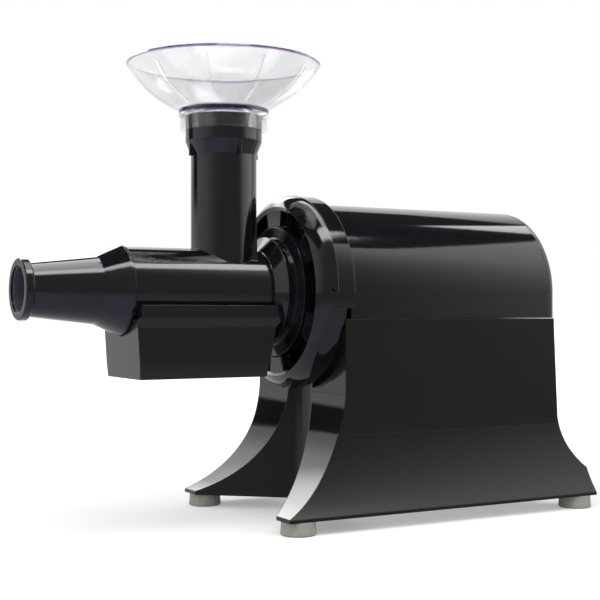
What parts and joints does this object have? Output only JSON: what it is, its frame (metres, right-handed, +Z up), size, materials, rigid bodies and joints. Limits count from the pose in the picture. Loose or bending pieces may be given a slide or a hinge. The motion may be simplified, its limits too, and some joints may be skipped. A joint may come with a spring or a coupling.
{
  "type": "horizontal juicer",
  "caption": "Horizontal masticating juicer: black motor base on curved legs, round hub, horizontal barrel with nozzle and feed throat, clear feed funnel and a sliding screen holder.",
  "frame": {"origin": "on the table, under the middle of the whole machine", "axes": "+X from the nozzle to the motor's rear, +Y to the far side, +Z up"},
  "size_m": [0.5184, 0.211, 0.3989],
  "materials": {
    "gloss_black": "high gloss",
    "satin_black": "satin, fine grain",
    "foot_rubber": "matt",
    "clear_plastic": "clear",
    "steel": "machined",
    "zinc_steel": "zinc plated",
    "cast_aluminium": "cast",
    "copper_wire": "enamelled wire",
    "white_nylon": "moulded",
    "black_trim": "moulded",
    "black_rubber": "matt",
    "capacitor_case": "drawn can"
  },
  "bodies": {
    "base": {"base_housing": "satin_black", "bottom_plate": "zinc_steel", "bottom_plate_screws": "steel", "foot_front_near": "foot_rubber", "foot_front_far": "foot_rubber", "foot_rear_near": "foot_rubber", "foot_rear_far": "foot_rubber", "foot_screws": "steel", "top_cover": "gloss_black", "rear_end_cap": "gloss_black", "rear_cap_screws": "steel", "hub": "gloss_black", "hub_screws": "steel", "shaft_seal": "black_rubber", "motor_shell": "cast_aluminium", "front_end_bell": "cast_aluminium", "rear_end_bell": "cast_aluminium", "through_bolts": "steel", "stator_core": "zinc_steel", "stator_windings": "copper_wire", "front_bearing": "steel", "rear_bearing": "steel", "motor_cradle": "zinc_steel", "cradle_screws": "steel", "start_capacitor": "capacitor_case", "capacitor_clamp": "zinc_steel", "start_switch": "white_nylon", "terminal_block": "white_nylon", "switch_bezel": "black_trim", "switch_body": "black_trim", "cord_gland": "black_trim"},
    "rotor": {"motor_shaft": "steel", "rotor_core": "zinc_steel", "cooling_fan": "white_nylon", "speed_governor": "zinc_steel", "retaining_rings": "steel", "cutter_body": "white_nylon", "cutter_blades": "steel"},
    "juicer_body": {"juicer_barrel": "gloss_black", "body_gasket": "black_rubber", "juice_screen": "steel"},
    "screen_holder": {"screen_holder": "gloss_black"},
    "feed_funnel": {"feed_funnel": "clear_plastic"},
    "switch_rocker": {"switch_rocker": "black_trim"}
  },
  "joints": [
    {"name": "rotor_spin", "type": "hinge", "parent": "base", "child": "rotor", "pos_m": [0, 0, 0.2], "axis": [1, 0, 0], "continuous": true},
    {"name": "body_twist", "type": "hinge", "parent": "base", "child": "juicer_body", "pos_m": [0, 0, 0.2], "axis": [-1, 0, 0], "range_deg": [0, 30]},
    {"name": "holder_slide", "type": "slide", "parent": "juicer_body", "child": "screen_holder", "axis": [-1, 0, 0], "range_m": [0, 0.12]},
    {"name": "funnel_lift", "type": "slide", "parent": "juicer_body", "child": "feed_funnel", "axis": [0, 0, 1], "range_m": [0, 0.03]},
    {"name": "rocker_tilt", "type": "hinge", "parent": "base", "child": "switch_rocker", "pos_m": [0.23015, 0, 0.142], "axis": [0, -1, 0], "range_deg": [0, 16]}
  ]
}
